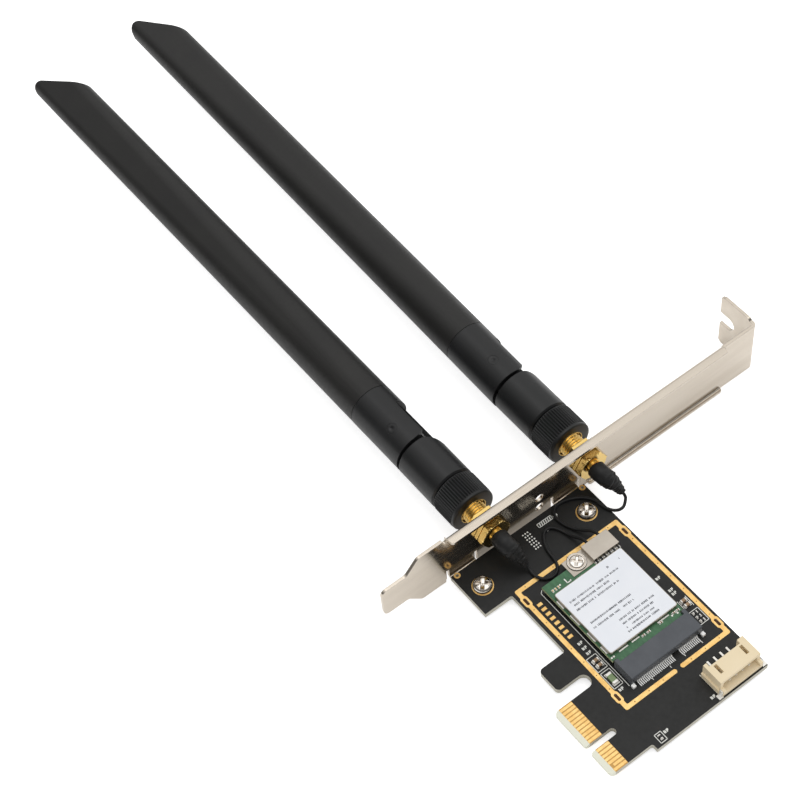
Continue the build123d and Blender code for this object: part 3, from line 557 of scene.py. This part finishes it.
for side in ("left", "right"):
    makeBoot(side, boots)
print("boots shrunk on")


# bulkhead jacks: one closed profile turned about the jack, with flats and a dividing groove on the hexagon rows and a
# helical ridge, a clipped triangle wave of length less angle, on the thread rows
jacks = {
    "x": {"left": 17.9, "right": 48.9}, "z": 7.8, "across": 8.0, "neck": 1.95, "grooveDepth": 0.25, "columns": 96,
    "thread": (57.9, 68.7), "threadRadius": 3.15, "pitch": 0.706, "depth": 0.36, "rowsPerTurn": 10, "fade": 0.4,
}


def makeJack(side, j):
    angle = roundAngles(j["columns"])
    neck, groove = j["neck"], j["neck"] - j["grooveDepth"]
    back = [(62.5, 1.2), (52.6, 1.2), (52.6, neck - 0.12), (52.72, neck), (53.86, neck), (53.92, groove),
            (54.18, groove), (54.24, neck), (54.46, neck), (54.52, groove), (54.78, groove), (54.84, neck), (55.2, neck)]
    hexRows = [(55.2, 3.75), (55.2, 4.1), (55.42, 4.62), (56.72, 4.62), (56.9, 4.35), (56.9, 3.5), (57.12, 3.5),
               (57.12, 4.5), (57.2, 4.62), (57.52, 4.62), (57.6, 4.5)]
    low, high = j["thread"]
    turns = np.linspace(low, high, int((high - low) / j["pitch"] * j["rowsPerTurn"]))
    threadRows = [(57.6, j["threadRadius"] - 0.3)] + [(y, j["threadRadius"]) for y in turns]
    front = [(69.0, 2.75), (69.0, 2.3), (62.5, 2.3)]
    rows = np.array(back + hexRows + threadRows + front)
    y, radius = rows[:, :1], rows[:, 1:] * np.ones_like(angle)
    sixth = np.pi / 3
    flat = j["across"] / 2 / np.cos(angle % sixth - sixth / 2)
    h0, h1 = len(back), len(back) + len(hexRows)
    radius[h0:h1] = np.minimum(radius[h0:h1], flat)
    t0, t1 = h1 + 1, h1 + len(threadRows)
    wave = np.abs(((y[t0:t1] / j["pitch"] + angle / fullTurn) % 1.0) * 2 - 1)
    fade = np.clip(np.minimum(y[t0:t1] - low, high - y[t0:t1]) / j["fade"], 0, 1)
    radius[t0:t1] -= j["depth"] * np.clip(1.25 * wave - 0.12, 0, 1) * fade + 0.05 * (1 - fade)
    points = aboutY(j["x"][side], y, j["z"], radius, angle)
    makePiece(side + "Bulkhead", points, ringFaces(*points.shape[:2], loop=True), "card", finishes["gold_brass"],
              "gold_brass", [side + "_jack_body"], crease=32)


for side in ("left", "right"):
    makeJack(side, jacks)
print("jacks threaded")


# coupling nuts: a closed ring profile whose radius is scalloped by the ribs, a power of a raised cosine, between two
# plain rims; a thin bright lip lines the mouth
grips = {
    "ribs": 54, "depth": 0.44, "sharpness": 1.2, "radius": 6.42, "grip": (64.95, 71.85), "columnsPerRib": 8,
    "ease": 0.25, "rimDrop": 0.12, "mouth": 3.8, "lip": (64.04, 64.3), "lipThick": 0.14,
}


def makeGrip(side, g, j):
    angle = roundAngles(g["ribs"] * g["columnsPerRib"])
    low, high = g["grip"]
    outer = [(64.1, 5.75), (64.15, 6.0), (64.26, 6.2), (64.42, 6.3), (64.6, 6.32), (low - 0.06, 6.32)]
    lines = np.concatenate([[low, low + 0.12, low + 0.25], np.linspace(low + 0.5, high - 0.5, 8),
                            [high - 0.25, high - 0.12, high]])
    middle = [(y, g["radius"]) for y in lines]
    after = [(high + 0.06, 6.26), (72.05, 6.18), (72.16, 5.95), (72.2, 5.7)]
    inner = [(72.2, 3.0), (71.6, 3.0), (71.6, 4.8), (64.7, 4.8), (64.7, g["mouth"]), (64.1, g["mouth"])]
    rows = np.array(outer + middle + after + inner)
    y, radius = rows[:, :1], rows[:, 1:] * np.ones_like(angle)
    span = slice(len(outer), len(outer) + len(middle))
    edge = np.clip(np.minimum(y[span] - low, high - y[span]) / g["ease"], 0, 1)
    dip = (0.5 - 0.5 * np.cos(g["ribs"] * angle)) ** g["sharpness"]
    radius[span] -= g["depth"] * dip * edge + g["rimDrop"] * (1 - edge)
    points = aboutY(j["x"][side], y, j["z"], radius, angle)
    makePiece(side + "GripNut", points, ringFaces(*points.shape[:2], loop=True), side + "_nut",
              finishes["black_plastic"], "black_plastic", [side + "_coupling_nut"], crease=50)
    near, far = g["lip"]
    mouth, bore = g["mouth"], g["mouth"] - g["lipThick"]
    rows = np.array([(near, mouth), (near, bore), (far, bore), (far, mouth)])
    points = aboutY(j["x"][side], rows[:, :1], j["z"], rows[:, 1:] * np.ones_like(angle), angle)
    makePiece(side + "NutLip", points, ringFaces(*points.shape[:2], loop=True), side + "_nut",
              finishes["gold_brass"], "gold_brass")


for side in ("left", "right"):
    makeGrip(side, grips, jacks)
print("grip nuts ribbed")


# hinge pin ends: a cosine-squared dish sunk in the collar's round side, top and bottom
dishes = {
    "radius": 1.39, "dish": 0.68, "deep": 0.27, "collar": 6.35, "sunk": 0.02, "foot": 5.9, "y": 93.4,
    "turn": {"left": 24.29, "right": 9.0}, "rows": 16, "columns": 48,
}


def makeDish(side, d, j):
    angle = roundAngles(d["columns"])
    part = np.concatenate([np.linspace(0.02, 1, d["rows"]), [1.0]])[:, None]
    x, y = d["radius"] * part * np.cos(angle), d["radius"] * part * np.sin(angle)
    bowl = np.cos(np.pi / 2 * np.clip(part / d["dish"], 0, 1)) ** 2
    z = np.sqrt(d["collar"] ** 2 - x**2) - d["deep"] * bowl - d["sunk"]
    z[-1] = d["foot"]
    turn = math.radians(d["turn"][side])
    faces = ringFaces(*x.shape)
    ends = []
    for end in (1, -1):
        across = j["x"][side] + x * math.cos(turn) - end * z * math.sin(turn)
        height = j["z"] + x * math.sin(turn) + end * z * math.cos(turn)
        ends.append((np.stack([across, d["y"] + y, height], -1).reshape(-1, 3), faces))
    makePiece(side + "PinDish", *joined(*ends), side + "_blade", finishes["black_plastic"], "black_plastic")


for side in ("left", "right"):
    makeDish(side, dishes, jacks)
print("hinge pins dished")


# pan-head screws: a height over radius and angle, less a cross hollow whose arms get shallower outwards, closed
# underneath by the shank
screws = {
    "board": {
        "at": [(8.7, 49.5), (41.8, 49.5)], "foot": 0.825, "head": 2.5, "height": 1.6, "shank": 1.46, "length": 3.06,
        "turn": 49, "arm": (1.9, 0.46), "hollow": 1.35,
        "crown": ((0, 0.35, 0.6, 0.78, 0.9, 0.97, 1), (1, 0.98, 0.91, 0.8, 0.64, 0.45, 0.22)),
    },
    "module": {
        "at": [(29.55, 38.9)], "foot": 3.235, "head": 2.55, "height": 0.75, "shank": 0.95, "length": 2.4,
        "turn": 44, "arm": (1.5, 0.36), "hollow": 0.62,
        "crown": ((0, 0.4, 0.6, 0.7, 0.75, 0.79, 0.83, 0.88, 0.95, 1),
                  (1, 0.97, 0.88, 0.74, 0.5, 0.22, 0.22, 0.5, 0.5, 0.3)),
    },
}
screwGrid = {"rows": 72, "columns": 120}


def screwShape(x, y, s):
    ease = lambda t: np.clip(t, 0, 1) ** 2 * (3 - 2 * np.clip(t, 0, 1))
    angle = roundAngles(screwGrid["columns"])
    part = np.linspace(0.012, 1.0, screwGrid["rows"])[:, None]
    radius = part * s["head"] * np.ones_like(angle)
    height = s["height"] * np.interp(part, *s["crown"]) * np.ones_like(angle)
    turned = angle - math.radians(s["turn"])
    a, b = np.abs(radius * np.cos(turned)), np.abs(radius * np.sin(turned))
    reach, half = s["arm"]
    arm = lambda p, q: (1 - 0.5 * p / reach) * ease((reach - p) / 0.22) * ease((half + 0.06 - q) / 0.14)
    height = height - s["hollow"] * np.maximum(arm(a, b), arm(b, a))
    below = np.array([(s["head"], 0.06), (s["head"] - 0.08, 0.0), (s["shank"], 0.0),
                      (s["shank"], 0.4 - s["length"]), (s["shank"] - 0.35, -s["length"])])
    radius = np.concatenate([radius, below[:, :1] * np.ones_like(angle)])
    height = np.concatenate([height, below[:, 1:] * np.ones_like(angle)])
    points = np.stack([x + radius * np.cos(angle), y + radius * np.sin(angle), s["foot"] + height], -1)
    return points.reshape(-1, 3), ringFaces(*radius.shape)


for kind, node in (("board", "bracket_screws"), ("module", "module_screw")):
    shape = joined(*[screwShape(x, y, screws[kind]) for x, y in screws[kind]["at"]])
    makePiece(kind + "PanHeads", *shape, "card", finishes["bright_screw"], "bright_screw", [node], crease=45)
print("screws turned")


# chip parts: rounded bodies with tinned ends that wrap a little over them; a third number of 1 turns a part along Y
chips = {
    "capacitors": {
        "at": [(16.3, 16.4, 0), (16.3, 14.9, 0), (43.0, 15.3, 0), (43.0, 13.9, 0)], "size": (1.6, 0.85, 0.8),
        "end": 0.34, "foot": boardTop, "slot": "tan_ceramic", "node": "chip_capacitors",
    },
    "resistors": {
        "at": [(43.0, 11.2, 0), (43.0, 9.9, 0), (43.0, 8.6, 0), (14.9, -8.0, 1)], "size": (1.15, 0.6, 0.45),
        "end": 0.26, "foot": boardTop, "slot": "black_ceramic", "node": "chip_resistors",
    },
    "fuse": {
        "at": [(16.2, 10.4, 1)], "size": (3.2, 1.6, 0.7), "end": 0.7, "foot": boardTop, "slot": "white_ceramic",
        "node": "fuse",
    },
    "modulePassives": {
        "at": [(28.65, 13.5, 0), (30.25, 13.5, 0), (34.1, 13.5, 0), (38.2, 13.5, 0), (39.4, 13.5, 0)],
        "size": (0.8, 0.45, 0.4), "end": 0.24, "foot": moduleTop, "slot": "tan_ceramic", "node": "module_passives",
    },
    "cornerPassives": {
        "at": [(19.95, 36.4, 1), (20.85, 36.4, 1), (21.75, 36.4, 1)], "size": (0.6, 0.3, 0.3), "end": 0.16,
        "foot": moduleTop, "slot": "gold_plate", "node": "module_passives",
    },
    "rowPassives": {
        "at": [(33.4, 35.7, 0), (34.75, 35.7, 0), (36.0, 35.7, 0), (37.4, 35.7, 0), (38.7, 35.7, 0), (40.0, 35.7, 0)],
        "size": (1.0, 0.6, 0.55), "end": 0.2, "foot": moduleTop, "slot": "black_ceramic", "node": None,
    },
}
solder = {"shift": 1.12, "reach": 0.12, "wider": 0.18, "thick": 0.05}


def makeChips(name, c):
    at = np.array(c["at"], float)
    turned = at[:, 2:] > 0.5
    length, width, height = c["size"]
    flat = np.array([length, width, height]) / 2
    halves = np.where(turned, flat[[1, 0, 2]], flat)
    along = np.where(turned, np.array([0.0, 1.0, 0.0]), np.array([1.0, 0.0, 0.0]))
    middle = np.column_stack([at[:, :2], np.full(len(at), c["foot"] + height / 2)])
    body = roundedBlocks(middle, halves * np.where(along > 0, 0.9, 0.94))
    replaced = [c["node"]] if c["node"] else ()
    makePiece(name + "Bodies", *body, "card", finishes[c["slot"]], c["slot"], replaced)
    half = c["end"] / 2
    capHalf = np.where(along > 0, half, halves)
    shift = along * (length / 2 - half)
    caps = roundedBlocks(np.concatenate([middle - shift, middle + shift]), np.concatenate([capHalf, capHalf]))
    outward = shift * solder["shift"]
    pads = np.concatenate([middle - outward, middle + outward])[:, :2]
    reach = np.concatenate([along, along])[:, :2] * (half + solder["reach"])
    plate = bars(np.concatenate([pads - reach, pads + reach], 1), width + solder["wider"], c["foot"],
                 c["foot"] + solder["thick"])
    makePiece(name + "Ends", *joined(caps, plate), "card", finishes["tin"], "tin")


for name, c in chips.items():
    makeChips(name, c)
print("chip parts soldered")


# white ink on the board: outlines and plain marks, 0.02 mm proud and let in by 0.01 mm
letIn = 0.01
ink = {
    "width": 0.17, "markWidth": 0.24, "dot": 0.23, "rise": 0.02,
    "boxes": [(14.75, 13.65, 17.6, 18.0), (14.85, 8.0, 17.55, 13.0), (41.75, 7.9, 44.5, 12.0),
              (29.9, 53.45, 34.2, 54.55), (14.05, -9.3, 15.9, -6.8)],
    "lines": [(18.15, 38.7, 18.15, 6.4), (18.15, 38.7, 18.9, 39.3), (32.6, -9.6, 32.6, -1.8),
              (45.85, -9.6, 45.85, -1.8), (41.75, 13.0, 41.75, 16.2), (44.3, 13.0, 44.3, 16.2)],
    "ticks": [(23.55, 4.35), (28.9, 4.05), (33.5, 4.25), (38.95, 4.3)],
    "tags": [(16.6, 22.4), (16.55, 20.75), (16.5, 19.15), (42.6, 24.0), (42.8, 19.6), (42.8, 18.4), (16.1, 7.05),
             (31.1, -8.0), (16.95, -7.6), (35.1, 53.6), (31.3, 51.8)],
    "tagStrokes": [(-0.5, -0.4, -0.5, 0.4), (-0.2, 0.3, -0.2, -0.4), (0.25, -0.4, 0.25, 0.4), (0.55, -0.1, 0.55, 0.4)],
    "dots": [(25.3 + 0.74 * a + 0.14 * (b % 2), 49.3 + 0.84 * b) for a in range(3) for b in range(7)],
    "hatch": [(30.4 + 0.62 * i, 53.6, 30.7 + 0.62 * i, 54.4) for i in range(6)],
}


def printBoard(k):
    low, high = boardTop - letIn, boardTop + k["rise"]
    edges = [side for x0, y0, x1, y1 in k["boxes"]
             for side in ((x0, y0, x1, y0), (x1, y0, x1, y1), (x1, y1, x0, y1), (x0, y1, x0, y0))]
    tags = [(x + a, y + b, x + c, y + d) for x, y in k["tags"] for a, b, c, d in k["tagStrokes"]]
    ticks = [(x, y - 0.3, x, y + 0.3) for x, y in k["ticks"]]
    lines = bars(edges + k["lines"] + ticks, k["width"], low, high)
    small = bars(tags + k["hatch"], k["markWidth"], low, high)
    spots = discs(k["dots"], k["dot"], low, high, 10)
    makePiece("boardInk", *joined(lines, small, spots), "card", inks["whiteInk"], "white_ceramic")


printBoard(ink)

# bare gold on the board: a row of plain test pads beside the module and small plated holes along the gold line
goldMarks = {
    "pads": [(16.0, 36.6 - 1.62 * i) for i in range(8)], "size": (1.35, 0.85), "lift": 0.03, "hole": 0.15,
    "holeLift": 0.048, "left": 14.0, "right": 45.4, "low": 2.55, "high": 42.65, "gap": (28.75, 31.35),
}


def printGold(g):
    x, y = np.array(g["pads"]).T
    reach = g["size"][0] / 2
    pads = bars(np.stack([x - reach, y, x + reach, y], 1), g["size"][1], boardTop - letIn, boardTop + g["lift"])
    makePiece("testPads", *pads, "card", finishes["gold_plate"], "gold_plate")
    up = np.arange(g["low"] + 6.2, g["high"] - 5, 4.6)
    over = np.arange(g["left"] + 2.4, g["right"], 4.4)
    under = over[(over < g["gap"][0] - 1) | (over > g["gap"][1] + 1)]
    spots = [np.stack([np.full_like(up, g["left"]), up], 1), np.stack([np.full_like(up, g["right"]), up], 1),
             np.stack([over, np.full_like(over, g["high"])], 1), np.stack([under, np.full_like(under, g["low"])], 1)]
    holes = discs(np.concatenate(spots), g["hole"], boardTop, boardTop + g["holeLift"], 12)
    makePiece("lineHoles", *holes, "card", inks["viaShade"], "gold_plate")


printGold(goldMarks)

# slots through the gold line: dark brown plugs with round ends, set a little below the board's face, paint the shade
# inside the slots
slotShadeFill = {
    "at": [(14.0, 5.95), (14.0, 39.25), (45.4, 5.95), (45.4, 39.25)], "size": (2.2, 0.8), "low": -0.6, "high": 0.45,
    "columns": 32,
}


def paintSlotShade(k):
    angle = roundAngles(k["columns"])[0]
    radius = k["size"][1] / 2
    reach = (k["size"][0] / 2 - radius) * np.sign(np.sin(angle) + 1e-9)
    ring = np.stack([radius * np.cos(angle), radius * np.sin(angle) + reach], -1)
    # the plugs' dark brown is painted shade, standing in for the unlit inside of the slots
    makePiece("slotShadePlugs", *prisms(k["at"], ring, k["low"], k["high"]), "card", inks["slotShade"], "gold_plate")


paintSlotShade(slotShadeFill)

# module top: solder along the shield can's rim, two plated holes, small spots and a corner mark
moduleMarks = {
    "rise": 0.03, "solderRise": 0.16, "solderWidth": 0.36, "spot": 0.26, "markWidth": 0.3,
    "holes": [(20.15, 36.6), (22.4, 36.65)],
    "solder": [(21.34, 13.85, 24.08, 13.85), (25.27, 13.85, 27.66, 13.85), (33.36, 13.85, 36.9, 13.85),
               (18.82, 15.2, 18.82, 17.6), (18.82, 19.4, 18.82, 22.4), (18.82, 25.2, 18.82, 28.6),
               (18.82, 31.0, 18.82, 33.6), (40.28, 16.0, 40.28, 19.0), (40.28, 21.6, 40.28, 25.0),
               (40.28, 28.2, 40.28, 31.0), (26.0, 35.22, 28.4, 35.22)],
    "spots": [(18.95, 13.7), (19.6, 13.7), (38.9, 12.95), (37.4, 13.2)],
    "mark": [(24.2, 37.3, 24.2, 35.9), (24.2, 35.95, 25.3, 35.95), (25.3, 35.95, 25.3, 36.3)],
}


def printModule(m):
    low, high = moduleTop - letIn, moduleTop + m["rise"]
    rim = bars(m["solder"], m["solderWidth"], low, moduleTop + m["solderRise"])
    dots = discs(m["holes"] + m["spots"], m["spot"], low, high, 16)
    makePiece("canSolder", *joined(rim, dots), "card", finishes["tin"], "tin")
    mark = bars(m["mark"], m["markWidth"], low, high)
    makePiece("moduleInk", *mark, "card", inks["whiteInk"], "white_ceramic")


printModule(moduleMarks)

# label print: rows of fine upright strokes in word-long runs, with no letters in them
labelPrint = {
    "top": 4.285, "rise": 0.012, "stroke": 0.15, "step": 0.33, "height": 0.62, "gaps": 0.14, "lean": 0.12, "seed": 7,
    # start, height on the label and end of each row
    "rows": [(20.7, 30.8, 35.7), (20.7, 29.5, 31.7), (20.6, 28.1, 33.7), (20.6, 23.4, 33.6), (20.5, 21.9, 32.8),
             (26.6, 19.7, 37.2), (26.6, 18.4, 36.1), (26.4, 17.1, 35.2), (26.3, 15.95, 35.7), (33.8, 32.6, 34.2),
             (37.4, 32.7, 37.8)],
}


def printLabel(p):
    chance = np.random.default_rng(p["seed"])
    runs = [np.arange(start, stop, p["step"]) for start, y, stop in p["rows"]]
    x = np.concatenate(runs)
    y = np.concatenate([np.full(len(run), row[1]) for run, row in zip(runs, p["rows"])])
    kept = chance.random(len(x)) > p["gaps"]
    x, y = x[kept], y[kept]
    tall = p["height"] * (0.55 + 0.45 * chance.random(len(x)))
    lean = p["lean"] * (chance.random(len(x)) - 0.5)
    ends = np.stack([x, y - tall / 2, x + lean, y + tall / 2], 1)
    wide = p["stroke"] * (0.8 + 0.8 * chance.random(len(x)))
    strokes = bars(ends, wide, p["top"] - letIn, p["top"] + p["rise"])
    makePiece("labelStrokes", *strokes, "card", inks["greyInk"], "black_ceramic")


printLabel(labelPrint)
print("prints and pads done")
